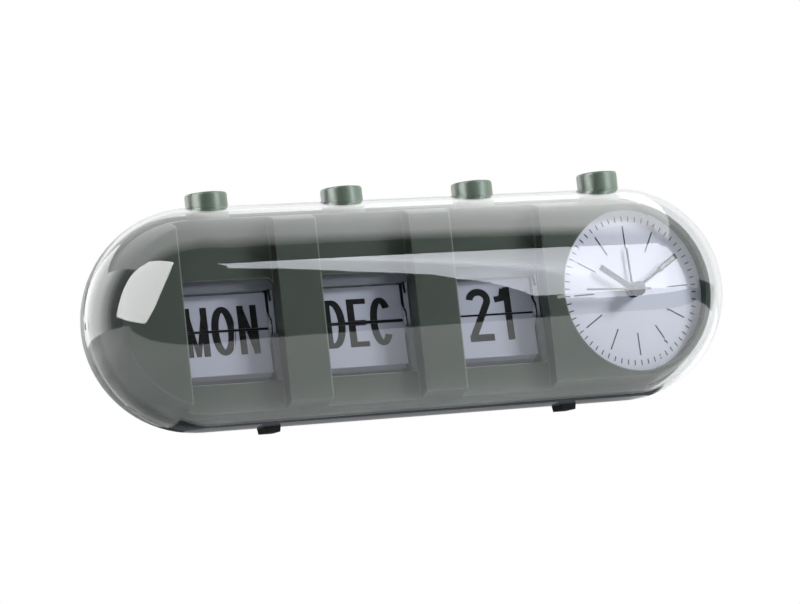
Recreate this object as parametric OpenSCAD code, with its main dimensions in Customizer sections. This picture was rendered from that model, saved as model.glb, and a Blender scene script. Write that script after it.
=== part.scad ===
// Desk clock with a flip calendar. The body is a capsule lying on its side: a clear
// domed cover in front, a green housing behind it with three card windows and a
// dial well, and a green rear shell with a flat back. Every module is drawn round the
// capsule's own axis (x along it, y to the back, z up); on_feet() lifts it into place.

/* [Body] */
// Outer radius of the capsule body
body_r = 42.5; // [42.3:0.1:42.8]
// Distance from the middle to the centre of either round end
end_x = 90.5; // [90:0.5:91]
// Distance from the capsule's axis to the flat back
back_y = 29.5; // [29.3:0.1:29.8]
// Distance from the capsule's axis back to the seam between cover and rear shell
seam_y = 3.5; // [3.3:0.1:3.7]
// Wall of the clear front cover
cover_wall = 1.6; // [1.4:0.1:2]
// Wall of the rear shell
shell_wall = 2.6; // [2.5:0.1:2.7]
// How far the feet reach below the body
foot_drop = 2.2; // [1.8:0.1:2.4]
// Width of a foot along the body
foot_w = 5.6; // [5:0.2:7]
// Depth of a foot, front to back
foot_d = 8.5; // [8:0.5:11]

/* [Housing] */
// Outer radius of the green housing inside the cover
housing_r = 38; // [37.8:0.1:38.2]
// Wall of the housing
housing_wall = 1.8; // [1.7:0.1:1.9]
// Distance of the flat face in front of the capsule's axis
face_y = 17; // [16.8:0.1:17.2]
// Depth of the three upright channels in the face
channel_depth = 6; // [5.8:0.1:6.1]
// Width of a channel and of its window
window_w = 38.7; // [38.6:0.1:39]
// Height of a window
window_h = 38.7; // [38:0.1:39]
// Distance from one card unit to the next
unit_pitch = 56.1; // [56:0.1:56.2]

/* [Calendar] */
// Leaves on the day drum
day_count = 28; // [28]
// Leaves on the month drum
month_count = 24; // [24]
// Leaves on the date drum
date_count = 31; // [31]
// Width of a leaf
leaf_w = 33.8; // [33.6:0.1:37]
// Length of a leaf from its pins
leaf_l = 16; // [15:0.1:16]
// Length of the leaf that flips
flip_l = 13; // [12.5:0.1:13]
// Thickness of a leaf
leaf_t = 0.16; // [0.1:0.02:0.16]

/* [Dial] */
// Radius of the visible dial
dial_r = 32; // [31.5:0.1:32.2]
// Length of the minute hand from the centre
minute_hand_l = 23.5; // [20:0.5:25]
// Length of the hour hand from the centre
hour_hand_l = 17; // [14:0.5:18]
// Length of the second hand from the centre
second_hand_l = 22.6; // [20:0.2:25]
// Length of the alarm hand from the centre
alarm_hand_l = 16.8; // [12:0.2:18]

/* [Buttons] */
// Radius of a push button
button_r = 8.1; // [7.8:0.1:8.2]
// Height of the three card buttons above the body
card_button_h = 5.9; // [4:0.1:6]
// Height of the alarm button above the body
alarm_button_h = 7.4; // [5:0.1:7.5]
// Travel of a button
stroke = 2.2; // [2:0.1:2.2]

/* [Hidden] */
$fn = 64;
far = 300;
eps = 0.01;
hole_gap = 0.3;
running_gap = 0.06;
press_gap = 0.05;

green = "#5d6d60";
dark_green = "#4c5c50";
white = "#e8e8ee";
black = "#1d1e20";
steel = "#b9bcc0";
brass = "#c9a55a";

// Where the capsule's axis lies once the clock stands on its feet, centred on the floor
axis_y = (body_r - back_y) / 2;
axis_z = body_r + foot_drop;

// Card units: place along the body, channel floor, window, drum axis and split line
day_x = -80.6;
unit_x = [for (i = [0:2]) day_x + i * unit_pitch];
floor_y = -face_y + channel_depth;
floor_t = 1.6;
window_z = -6.3;
window_round = 3;
split_z = -5.6;
drum_y = -0.2;
pin_ring_r = 7;
pin_r = 0.3;
axle_r = 1.5;
disc_in = leaf_w / 2 + 0.15;
disc_out = disc_in + 0.9;
disc_r = pin_ring_r + 0.9;
notch_r = 0.45;
lean = 3;
frame_in = 19.9;
frame_out = 21;
frame_front = floor_y + floor_t + 0.1;
frame_back = 13;
frame_top = 16.6;
frame_bottom = -28;
frame_t = 1.2;
ratchet_x = 21.4;
ratchet_t = 1;
tooth_h = 1;
lug_y = -5;
lug_t = 1.5;
lug_spots = [[-14, 21], [14, -31]];

// How much wider a foot is, on each side, where it meets the body
foot_flare = 0.8;

// Buttons: where they start inside the body, their guides and their springs
button_x = [unit_x[0], unit_x[1], unit_x[2], day_x + 3 * unit_pitch];
cap_bottom = 34;
cap_wall = 1.5;
cap_top_t = 2.2;
cap_round = 1.6;
cap_crown_r = 45;
stem_r = 1.5;
guide_r = 9.7;
guide_z = 30;
guide_t = 1.2;
spring_r = 3.6;
spring_wire = 0.4;
spring_turns = 6;
arm_z = 22;
arm_h = 2.6;
arm_w = 1.3;
pawl_drop = 0.3;
rail = [1.15, 0.3];

// Dial, hands and movement. Depths are measured from the capsule's axis.
dial_front = -12.5;
dial_t = 1.2;
dial_plate_r = dial_r + 1.4;
well_r = 37;
arbor_r = 0.5;
minute_tube_r = 1.1;
hour_tube_r = 1.7;
alarm_tube_r = 2.4;
shaft_r = 1;
stud_r = 0.5;
case_x = [-20.7, 18.7];
case_z = [-18.7, 16.2];
case_y = [-11.2, 8.6];
case_split_y = -1.9;
case_wall = 1.2;
level = [-9.6, -8, -6.4, -4.8, -3.3, -1.8, -0.3];
wheel_t = 0.7;
post_spots = [[-24, 9], [22, -10]];
post_y = -8;

// Wheel centres, measured from the middle of the dial
third_at = 10.2 * [cos(-45), sin(-45)];
fifth_at = 9 * [cos(-135), sin(-135)];
minute_wheel_at = 9.6 * [cos(135), sin(135)];
alarm_knob_at = 12 * [cos(45), sin(45)];
rotor_at = fifth_at + 8.25 * [-1, 0];
time_knob_at = minute_wheel_at + 9.6 * [cos(160), sin(160)];

// Back of the clock: screws, knobs, buzzer and battery
screw_spots = [
    [-114.5, 0], [-52.55, 22], [-52.55, -22], [3.55, 22], [3.55, -22],
    [61, 24], [61, -24], [115.5, 0],
];
boss_r = 3.2;
post_r = 4;
screw_floor = 8;
screw_head_r = 2.7;
screw_r = 1.25;
knob_r = 5.2;
knob_y = [25.2, 29.2];
well_floor_y = 24.5;
knob_well_r = 6.6;
buzzer_at = [end_x, -26.5];
buzzer_r = 7;
buzzer_y = [12, 16];
bay_x = [55.8, 111.2];
bay_z = [-15.6, -0.4];
bay_front = 11.3;
bay_wall = 1.4;
door_x = [56.5, 110.5];
door_z = [-15.4, -0.6];
door_t = 2.2;
battery_r = 7.2;
battery_y = 19;
battery_z = -8;
battery_x = [59.2, 108.7];
cell_nub = 1.4;

// Lifts a piece drawn round the capsule's axis onto the feet
module on_feet() { translate([0, axis_y, axis_z]) children(); }

// Box given by its low and high corners
module block(low, high) { translate(low) cube(high - low); }

// Disc or rod along y, between two depths, at a place in the x-z plane
module rod(at, depths, r) {
    translate([at[0], depths[1], at[1]]) rotate([90, 0, 0]) cylinder(r = r, h = depths[1] - depths[0]);
}

// Rod along x
module cross_rod(from_x, to_x, y, z, r) {
    translate([from_x, y, z]) rotate([0, 90, 0]) cylinder(r = r, h = to_x - from_x);
}

// Flat outline in the x-z plane, thickened between two depths
module slab_of(at, depths) {
    translate([at[0], depths[1], at[1]]) rotate([90, 0, 0]) linear_extrude(depths[1] - depths[0]) children();
}

// Everything between two depths
module depth_slab(depths) { block([-far, depths[0], -far], [far, depths[1], far]); }

// Solid capsule along x
module capsule(r) {
    rotate([0, 90, 0]) rotate_extrude() intersection() {
        translate([0, -far]) square([far, 2 * far]);
        union() {
            translate([0, -end_x]) square([r, 2 * end_x]);
            for (side = [-1, 1]) translate([0, side * end_x]) circle(r = r);
        }
    }
}

module cut_capsule(r, depths) {
    intersection() {
        capsule(r);
        depth_slab(depths);
    }
}

// Wheel with simple tapered teeth, one of them centred on angle phase
module gear_outline(teeth, size, phase) {
    pitch = 360 / teeth;
    root = size * (teeth / 2 - 1.15);
    tip = size * (teeth / 2 + 0.85);
    polygon([for (i = [0:teeth - 1], p = [[root, -0.28], [tip, -0.11], [tip, 0.11], [root, 0.28]])
        p[0] * [cos(phase + (i + p[1]) * pitch), sin(phase + (i + p[1]) * pitch)]]);
}

module gear(at, from_y, teeth, size, phase, thick = wheel_t) {
    slab_of(at, [from_y, from_y + thick]) gear_outline(teeth, size, phase);
}

// Phase that puts the second wheel in mesh with the first, seen from the first
function meshed(phase, teeth, next_teeth, heading) =
    heading + 180 + 360 / next_teeth * (0.5 - (phase - heading) * teeth / 360);

// Wound wire along z as one closed tube
module wire_coil(r, wire, turns, height, steps = 12, sides = 6) {
    count = turns * steps;
    rings = [for (i = [0:count], k = [0:sides - 1])
        let (a = i * 360 / steps, b = k * 360 / sides, d = r + wire * cos(b))
        [d * cos(a), d * sin(a), height * i / count + wire * sin(b)]];
    walls = [for (i = [0:count - 1], k = [0:sides - 1])
        let (n = (k + 1) % sides, low = i * sides, high = low + sides)
        each [[low + k, low + n, high + n], [low + k, high + n, high + k]]];
    start = [for (k = [1:sides - 2]) [0, k + 1, k]];
    last = count * sides;
    finish = [for (k = [1:sides - 2]) [last, last + k, last + k + 1]];
    polyhedron(rings, concat(walls, start, finish));
}

/* Body */

module button_holes(r) {
    for (x = button_x) translate([x, 0, 0]) cylinder(r = r, h = far);
}

module front_cover() color(white, 0.3) on_feet() difference() {
    cut_capsule(body_r, [-far, seam_y]);
    capsule(body_r - cover_wall);
    button_holes(button_r + hole_gap);
}

module channel_block(x) {
    half = window_w / 2 + floor_t;
    block([x - half, -face_y - 1, -far], [x + half, floor_y + floor_t, far]);
}

module channel_cut(x) {
    block([x - window_w / 2, -face_y - 1, -far], [x + window_w / 2, floor_y, far]);
}

module window_cut(x) {
    half = window_w / 2;
    low = window_z - window_h / 2;
    high = window_z + window_h / 2;
    slab_of([x, 0], [floor_y - 1, floor_y + floor_t + 1]) union() {
        translate([-half, low]) square([window_w, window_h - window_round]);
        translate([-half + window_round, low]) square([window_w - 2 * window_round, window_h]);
        for (side = [-1, 1]) translate([side * (half - window_round), high - window_round])
            circle(r = window_round);
    }
}

module housing_hollow() {
    difference() {
        cut_capsule(housing_r - housing_wall, [-face_y + housing_wall, far]);
        for (x = unit_x) channel_block(x);
        rod([end_x, 0], [-face_y - 1, dial_front], well_r);
        for (x = button_x) translate([x, 0, guide_z]) cylinder(r = guide_r, h = far);
        for (i = [0:6]) rod(screw_spots[i], [-face_y, seam_y + 1], boss_r);
        for (x = unit_x, s = lug_spots) rod([x + s[0], s[1]], [-face_y, lug_y], 2.2);
    }
}

module front_housing() color(green) on_feet() difference() {
    cut_capsule(housing_r, [-face_y, seam_y]);
    housing_hollow();
    for (x = unit_x) {
        channel_cut(x);
        window_cut(x);
        for (s = lug_spots) rod([x + s[0], s[1]], [lug_y - 3, lug_y + 1], 0.9);
    }
    rod([end_x, 0], [-face_y - 1, dial_front + 1], dial_r);
    for (x = button_x) {
        translate([x, 0, guide_z + guide_t]) cylinder(r = button_r + 0.5, h = far);
        translate([x, 0, guide_z - 1]) cylinder(r = stem_r + running_gap, h = guide_t + 2);
    }
    for (i = [0:6]) rod(screw_spots[i], [-3, seam_y + 1], screw_r + press_gap);
}

module shell_hollow() {
    difference() {
        cut_capsule(body_r - shell_wall, [-seam_y, back_y - shell_wall]);
        for (s = screw_spots) rod(s, [0, far], post_r);
        for (s = [time_knob_at, alarm_knob_at])
            rod([end_x + s[0], s[1]], [well_floor_y - 1.4, far], knob_well_r + 1.3);
        rod(buzzer_at, [buzzer_y[0], far], buzzer_r + 1.4);
        block([bay_x[0] - bay_wall, bay_front - bay_wall, bay_z[0] - bay_wall],
              [bay_x[1] + bay_wall, far, bay_z[1] + bay_wall]);
    }
}

module rear_shell() color(green) on_feet() difference() {
    cut_capsule(body_r, [seam_y, back_y]);
    shell_hollow();
    button_holes(button_r + hole_gap);
    for (s = screw_spots) {
        rod(s, [0, screw_floor + 1], screw_r + 0.3);
        rod(s, [screw_floor, far], screw_head_r + 0.4);
    }
    for (s = [time_knob_at, alarm_knob_at]) {
        rod([end_x + s[0], s[1]], [well_floor_y, far], knob_well_r);
        rod([end_x + s[0], s[1]], [well_floor_y - 3, far], shaft_r + running_gap);
    }
    rod(buzzer_at, [0, back_y - shell_wall], buzzer_r + 0.2);
    for (dx = [-3:3:3], dz = [-2.5, 0.5]) rod(buzzer_at + [dx, dz], [back_y - 5, back_y + 1], 0.9);
    block([bay_x[0], bay_front, bay_z[0]], [bay_x[1], back_y - shell_wall, bay_z[1]]);
    block([door_x[0], back_y - 5, door_z[0]], [door_x[1], back_y + 1, door_z[1]]);
}

// Foot that meets the round underside, its ends cut at a slant
module foot(x) {
    color(black) on_feet() difference() {
        translate([x, foot_d / 2, 0]) rotate([90, 0, 0]) linear_extrude(foot_d) polygon([
            [-foot_w / 2 - foot_flare, 2 - body_r], [foot_w / 2 + foot_flare, 2 - body_r],
            [foot_w / 2, -body_r - foot_drop], [-foot_w / 2, -body_r - foot_drop],
        ]);
        cross_rod(x - 20, x + 20, 0, 0, body_r + 0.02, $fn = 256);
    }
}

module foot_left() foot(-64.5);
module foot_right() foot(61.5);

// Pan-head screw along y with its head to the back
module screw(at, head_y, head_r, head_t, r, length) {
    difference() {
        union() {
            rod(at, [head_y, head_y + head_t], head_r);
            rod(at, [head_y - length, head_y + eps], r);
        }
        for (turn = [0, 90]) translate([at[0], head_y + head_t, at[1]]) rotate([0, turn, 0])
            cube([head_r * 1.3, head_t, head_r * 0.3], center = true);
    }
}

module case_screws() color(steel) on_feet() for (s = screw_spots)
    screw(s, screw_floor, screw_head_r, 2, screw_r, screw_floor + 2);

/* Calendar */

module frame(x) {
    plate_z = [split_z + flip_l + 1.3, frame_top - 0.4];
    color(white) on_feet() difference() {
        union() {
            difference() {
                block([x - frame_out, frame_front, frame_bottom], [x + frame_out, frame_back, frame_top]);
                block([x - frame_in, -far, frame_bottom + 1.1], [x + frame_in, far, frame_top - frame_t]);
            }
            block([x - frame_in - 0.5, frame_front + 0.1, plate_z[0]],
                  [x + frame_in + 0.5, frame_front + 0.7, plate_z[1]]);
            for (side = [-1, 1]) cheek(x, side);
            for (s = lug_spots) lug(x + s[0], s[1]);
        }
        cross_rod(x - far, x + far, drum_y, split_z, axle_r + running_gap);
        for (s = lug_spots) rod([x + s[0], s[1]], [lug_y - 1, lug_y + 2], 1.1);
    }
}

// Pale cheek beside the lower leaf
module cheek(x, side) {
    low = [leaf_w / 2 + 0.3, floor_y + 0.2, window_z - window_h / 2 + 0.1];
    translate([x, 0, 0]) mirror([side < 0 ? 1 : 0, 0, 0]) {
        block(low, [window_w / 2 - 0.1, frame_front + 0.9, split_z - 2.4]);
        block([low[0], frame_front, low[2]], [frame_in + 0.5, frame_front + 0.9, split_z - 2.4]);
    }
}

// Lug that takes a frame screw, above or below the frame
module lug(x, z) {
    low = z > 0 ? frame_top - 0.5 : z - 2.4;
    high = z > 0 ? z + 2.4 : frame_bottom + 0.5;
    block([x - 3, lug_y, low], [x + 3, lug_y + lug_t, high]);
}

module day_frame() frame(unit_x[0]);
module month_frame() frame(unit_x[1]);
module date_frame() frame(unit_x[2]);

module frame_screws() color(steel) on_feet() for (x = unit_x, s = lug_spots)
    screw([x + s[0], s[1]], lug_y + lug_t, 1.8, 1.2, 0.85, 4);

function pin_angle(i, count) = (i + 0.5) * 360 / count;
// Direction of a leaf, counted like the pin angle: 0 to the front, 90 up
function leaf_angle(i, count) = 90 + lean + i * 360 / count * 180 / (360 - 360 / count);
function ratchet_r(count) = stroke * count / (2 * PI);

// Ratchet with its steep faces turned up at the front
module ratchet_outline(count) {
    tip = ratchet_r(count);
    step = 360 / count;
    polygon([for (i = [0:count - 1], r = [tip, tip - tooth_h]) r * [-cos(i * step), sin(i * step)]]);
}

module drum(x, count) {
    color(white) on_feet() translate([x, drum_y, split_z]) {
        difference() {
            union() {
                cross_rod(-frame_out - 0.6, ratchet_x + ratchet_t + 0.5, 0, 0, axle_r);
                cross_rod(-disc_in - eps, disc_in + eps, 0, 0, 4.4);
                for (low = [-disc_out, disc_in]) cross_rod(low, low + disc_out - disc_in, 0, 0, disc_r);
                translate([ratchet_x, 0, 0]) rotate([90, 0, 90]) linear_extrude(ratchet_t)
                    ratchet_outline(count);
            }
            for (i = [0:count - 1]) {
                translate(pin_place(i, count))
                    cross_rod(-disc_out - 1, disc_out + 1, 0, 0, pin_r + running_gap);
                translate(pin_place(i + 0.5, count) * disc_r / pin_ring_r)
                    cross_rod(-disc_out - 1, disc_out + 1, 0, 0, notch_r, $fn = 16);
            }
        }
    }
}

function pin_place(i, count) =
    pin_ring_r * [0, -cos(pin_angle(i, count)), sin(pin_angle(i, count))];

module day_drum() drum(unit_x[0], day_count);
module month_drum() drum(unit_x[1], month_count);
module date_drum() drum(unit_x[2], date_count);

// One leaf, standing up from its pins
module leaf(x, i, count, length) {
    translate([x, drum_y, split_z] + pin_place(i, count)) rotate([90 - leaf_angle(i, count), 0, 0]) {
        block([-leaf_w / 2, -leaf_t / 2, -pin_r], [leaf_w / 2, leaf_t / 2, length]);
        for (low = [-disc_out, leaf_w / 2]) cross_rod(low, low + disc_out - leaf_w / 2, 0, 0, pin_r);
    }
}

module leaves(x, count) {
    color(white) on_feet() for (i = [1:count - 1]) leaf(x, i, count, leaf_l);
}

module flip_leaf(x, count) {
    color(white) on_feet() leaf(x, 0, count, flip_l);
}

module day_leaves() leaves(unit_x[0], day_count);
module month_leaves() leaves(unit_x[1], month_count);
module date_leaves() leaves(unit_x[2], date_count);
module day_flip_leaf() flip_leaf(unit_x[0], day_count);
module month_flip_leaf() flip_leaf(unit_x[1], month_count);
module date_flip_leaf() flip_leaf(unit_x[2], date_count);

/* Buttons */

// Hollow cap with a rounded rim and a slight crown, on a stem down the middle
module cap(height, stem_z) {
    top = body_r + height;
    difference() {
        rotate_extrude() intersection() {
            union() {
                translate([0, cap_bottom]) square([button_r, top - cap_round - cap_bottom]);
                translate([0, cap_bottom]) square([button_r - cap_round, top - cap_bottom]);
                translate([button_r - cap_round, top - cap_round]) circle(r = cap_round);
            }
            translate([0, top - cap_crown_r]) circle(r = cap_crown_r, $fn = 256);
        }
        difference() {
            translate([0, 0, cap_bottom - 1])
                cylinder(r = button_r - cap_wall, h = top - cap_top_t - cap_bottom + 1);
            translate([0, 0, cap_bottom - 2]) cylinder(r = stem_r, h = far);
        }
    }
    translate([0, 0, stem_z]) cylinder(r = stem_r, h = cap_bottom - stem_z + 1);
}

// Button with the arm and pawl that turn the drum's ratchet
module card_button(x, count) {
    front = drum_y - ratchet_r(count);
    arm_x = ratchet_x + ratchet_t + 0.2;
    color(dark_green) on_feet() translate([x, 0, 0]) {
        cap(card_button_h, arm_z);
        block([0, -arm_w, arm_z], [arm_x, arm_w, arm_z + arm_h]);
        block([ratchet_x, front - rail[0], arm_z], [arm_x, arm_w, arm_z + arm_h]);
        block([ratchet_x, front - rail[0], split_z + pawl_drop], [arm_x, front - rail[1], arm_z + arm_h]);
        block([ratchet_x, front - rail[0], split_z + pawl_drop],
              [arm_x, front + 0.4, split_z + pawl_drop + 0.6]);
    }
}

module day_button() card_button(button_x[0], day_count);
module month_button() card_button(button_x[1], month_count);
module date_button() card_button(button_x[2], date_count);

module alarm_button() color(dark_green) on_feet() translate([button_x[3], 0, 0]) {
    cap(alarm_button_h, 24.6);
}

// Return spring between the guide's floor and the underside of the cap
module button_spring(x, height) {
    low = guide_z + guide_t + spring_wire + 0.05;
    high = body_r + height - cap_top_t - spring_wire - 0.05;
    color(steel) on_feet() translate([x, 0, low]) wire_coil(spring_r, spring_wire, spring_turns, high - low);
}

module day_spring() button_spring(button_x[0], card_button_h);
module month_spring() button_spring(button_x[1], card_button_h);
module date_spring() button_spring(button_x[2], card_button_h);
module alarm_spring() button_spring(button_x[3], alarm_button_h);

// Push switch on top of the movement, under the alarm button's stem
module alarm_switch() color(black) on_feet() translate([button_x[3], 0, 0]) {
    block([-4, -3, case_z[1]], [4, 3, 20]);
    translate([0, 0, 20 - eps]) cylinder(r = 1.4, h = 2);
}

/* Dial and hands */

module at_dial() { on_feet() translate([end_x, 0, 0]) children(); }

module dial_plate() color(white) at_dial() difference() {
    union() {
        rod([0, 0], [dial_front, dial_front + dial_t], dial_plate_r);
        for (s = post_spots) rod(s, [dial_front + 0.5, post_y], 2.6);
        rod(screw_spots[7] - [end_x, 0], [dial_front + 0.5, seam_y], boss_r);
    }
    rod([0, 0], [-far, far], alarm_tube_r + 0.2);
    for (s = post_spots) rod(s, [post_y - 2.5, post_y + 1], 0.9);
    rod(screw_spots[7] - [end_x, 0], [-3, seam_y + 1], screw_r + press_gap);
}

// Flat hand turned clockwise from twelve, seen from the front
module hand(depths, turn) {
    slab_of([0, 0], depths) rotate(-turn) children();
}

module alarm_hand() color(black) at_dial() difference() {
    hand([-13.9, -13.4], -2.5) union() {
        circle(r = 3.1);
        translate([-0.35, 0]) square([0.7, alarm_hand_l]);
    }
    rod([0, 0], [-far, far], alarm_tube_r);
}

module hour_hand() color(black) at_dial() difference() {
    hand([-15.2, -14.7], 304.5) union() {
        circle(r = 2.6);
        translate([-1.15, 0]) square([2.3, hour_hand_l]);
    }
    rod([0, 0], [-far, far], hour_tube_r);
}

module minute_hand() color(black) at_dial() difference() {
    hand([-16.5, -16], 58) union() {
        circle(r = 2.1);
        polygon([[-0.55, 0], [-0.55, 12.5], [-1.1, 13.5], [-1.1, minute_hand_l], [1.1, minute_hand_l],
                 [1.1, 13.5], [0.55, 12.5], [0.55, 0]]);
    }
    rod([0, 0], [-far, far], minute_tube_r);
}

// Thin hand with a short tail, under the rounded hub cap
module second_hand() color(black) at_dial() difference() {
    union() {
        hand([-17.9, -17.5], 272) translate([-0.35, -6.1]) square([0.7, second_hand_l + 6.1]);
        translate([0, -17.2, 0]) rotate([90, 0, 0]) rotate_extrude() union() {
            square([2.85, 1.9]);
            square([1.85, 2.9]);
            intersection() {
                translate([1.85, 1.9]) circle(r = 1);
                square([far, far]);
            }
        }
    }
    rod([0, 0], [-18.6, far], arbor_r);
}

/* Movement */

module case_box(depths, wall) {
    block([case_x[0] + wall, depths[0], case_z[0] + wall], [case_x[1] - wall, depths[1], case_z[1] - wall]);
}

module movement_front() color(white) at_dial() difference() {
    union() {
        difference() {
            case_box([case_y[0], case_split_y], 0);
            case_box([case_y[0] + case_wall, far], case_wall);
        }
        for (s = post_spots) block([s[0] - 3.8, post_y, s[1] - 3], [s[0] + 3.8, post_y + 1.4, s[1] + 3]);
        rod(minute_wheel_at, [case_y[0] + 0.5, level[3] - 0.5], 0.6);
        rod(rotor_at, [case_y[0] + 0.5, -0.9], shaft_r);
    }
    rod([0, 0], [-far, far], alarm_tube_r + running_gap);
    for (s = [time_knob_at, alarm_knob_at]) rod(s, [-far, far], shaft_r + running_gap);
    for (s = post_spots) rod(s, [post_y - 1, far], 1.1);
    rod(rotor_at, [-1.9, far], stud_r * 0.6 + running_gap);
}

module movement_back() color(white) at_dial() difference() {
    union() {
        difference() {
            case_box([case_split_y, case_y[1]], 0);
            case_box([-far, case_y[1] - case_wall], case_wall);
        }
        rod(third_at, [level[3] - 0.2, case_y[1] - 0.5], stud_r);
        rod(fifth_at, [level[5] - 0.2, case_y[1] - 0.5], stud_r);
    }
    rod([0, 0], [0, case_y[1] - 0.3], arbor_r + running_gap);
    rod(rotor_at, [0, case_y[1] - 0.3], stud_r * 0.6 + running_gap);
    for (s = [time_knob_at, alarm_knob_at]) rod(s, [0, far], shaft_r + running_gap);
}

module movement_screws() color(steel) at_dial() for (s = post_spots)
    screw(s, post_y + 1.4, 1.8, 1.2, 0.85, 3.6);

module circuit_board() color("#2f6b45") at_dial() difference() {
    union() {
        block([2, 2.4, -16.5], [16.5, 3.4, 3.5]);
        block([8.5, 3.4 - eps, -4], [13.5, 4.6, 1]);
        block([10, 3.4 - eps, -14.5], [14, 4.9, -12.5]);
    }
    rod(third_at, [-far, far], 1.2);
}

module stator() color(steel) at_dial() difference() {
    block([-18.6, 2.3, -15.6], [-2, 3.1, -1.8]);
    rod(rotor_at, [-far, far], 3);
    rod(fifth_at, [-far, far], 1.2);
}

// Wound coil with its end flanges, on the stator's lower edge
module coil() color("#a8552f") at_dial() {
    cross_rod(-16.8, -3.8, 5.3, -13.4, 1.7);
    for (x = [-17.4, -4.4]) cross_rod(x, x + 1, 5.3, -13.4, 2.1);
}

/* Wheels: the second hand's train */

second_phase = 0;
third_phase = meshed(second_phase, 8, 60, -45);
fifth_phase = meshed(second_phase, 30, 10, -135);

module second_wheel() color(brass) at_dial() {
    gear([0, 0], level[5], 30, 0.45, second_phase);
    gear([0, 0], level[4], 8, 0.3, second_phase, level[5] - level[4] + eps);
    rod([0, 0], [-18.6, case_y[1] - 0.5], arbor_r);
}

module third_wheel() color(brass) at_dial() difference() {
    union() {
        gear(third_at, level[4], 60, 0.3, third_phase);
        gear(third_at, level[3], 8, 10.2 / 36, third_phase, level[4] - level[3] + eps);
    }
    rod(third_at, [-far, far], stud_r + running_gap);
}

module centre_wheel() color(brass) at_dial() difference() {
    gear([0, 0], level[3], 64, 10.2 / 36, meshed(third_phase, 8, 64, 135));
    rod([0, 0], [-far, far], arbor_r + running_gap);
}

module fifth_wheel() color(brass) at_dial() difference() {
    union() {
        gear(fifth_at, level[5], 10, 0.45, fifth_phase, level[6] - level[5] + eps);
        gear(fifth_at, level[6], 60, 0.25, fifth_phase);
    }
    rod(fifth_at, [-far, far], stud_r + running_gap);
}

module rotor() color(steel) at_dial() {
    gear(rotor_at, level[6], 6, 0.25, meshed(fifth_phase, 60, 6, 180), 1.6);
    rod(rotor_at, [1.2, 4.2], 2.5);
    rod(rotor_at, [-1.7, case_y[1] - 0.5], stud_r * 0.6);
}

/* Wheels: minute and hour hands, time setting */

pinion_phase = 0;
minute_wheel_phase = meshed(pinion_phase, 12, 36, 135);

module minute_pinion() color(brass) at_dial() difference() {
    union() {
        gear([0, 0], level[2], 12, 0.4, pinion_phase);
        rod([0, 0], [-16.5, level[2] + 0.5], minute_tube_r);
    }
    rod([0, 0], [-far, far], arbor_r + running_gap);
}

module minute_wheel() color(white) at_dial() difference() {
    union() {
        gear(minute_wheel_at, level[2], 36, 0.4, minute_wheel_phase);
        gear(minute_wheel_at, level[1], 10, 9.6 / 25, minute_wheel_phase, level[2] - level[1] + eps);
    }
    rod(minute_wheel_at, [-far, far], 0.6 + running_gap);
}

module hour_wheel() color(white) at_dial() difference() {
    union() {
        gear([0, 0], level[1], 40, 9.6 / 25, meshed(minute_wheel_phase, 10, 40, -45));
        rod([0, 0], [-15.2, level[1] + 0.5], hour_tube_r);
    }
    rod([0, 0], [-far, far], minute_tube_r + running_gap);
}

module knob(at) {
    difference() {
        rod(at, knob_y, knob_r);
        for (i = [0:17]) rod(at + (knob_r + 0.25) * [cos(i * 20), sin(i * 20)], [-far, far], 0.6);
    }
}

module time_knob() color(black) at_dial() {
    knob(time_knob_at);
    rod(time_knob_at, [case_y[0] + 0.2, knob_y[0] + eps], shaft_r);
    gear(time_knob_at, level[2], 12, 0.4, meshed(minute_wheel_phase, 36, 12, 160));
}

/* Wheels: alarm hand and alarm setting */

module alarm_wheel() color(white) at_dial() difference() {
    union() {
        gear([0, 0], level[0], 40, 0.4, 0);
        rod([0, 0], [-13.9, level[0] + 0.5], alarm_tube_r);
    }
    rod([0, 0], [-far, far], hour_tube_r + running_gap);
}

module alarm_knob() color(black) at_dial() {
    knob(alarm_knob_at);
    rod(alarm_knob_at, [case_y[0] + 0.2, knob_y[0] + eps], shaft_r);
    gear(alarm_knob_at, level[0], 20, 0.4, meshed(0, 40, 20, 45));
}

/* Buzzer and battery */

module buzzer() color(brass) on_feet() {
    rod(buzzer_at, buzzer_y, buzzer_r);
    rod(buzzer_at, [buzzer_y[1] - eps, buzzer_y[1] + 0.4], buzzer_r - 2);
}

module battery() color(steel) on_feet() {
    cross_rod(battery_x[0], battery_x[1], battery_y, battery_z, battery_r);
    cross_rod(battery_x[1] - eps, battery_x[1] + cell_nub, battery_y, battery_z, 2.7);
}

module battery_spring() color(steel) on_feet() translate([bay_x[0] + 0.45, battery_y, battery_z])
    rotate([0, 90, 0]) wire_coil(3.6, 0.35, 2, battery_x[0] - bay_x[0] - 0.9);

module battery_contact() color(steel) on_feet() {
    half = 5;
    block([bay_x[1] - 0.6, battery_y - half, battery_z - half],
          [bay_x[1], battery_y + half, battery_z + half]);
}

module battery_door() color(green) on_feet() {
    gap = 0.2;
    difference() {
        block([door_x[0] + gap, back_y - door_t, door_z[0] + gap],
              [door_x[1] - gap, back_y, door_z[1] - gap]);
        for (x = [door_x[1] - 12:1.8:door_x[1] - 4]) block([x, back_y - 0.6, -12], [x + 0.8, back_y + 1, -4]);
    }
}

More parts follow.
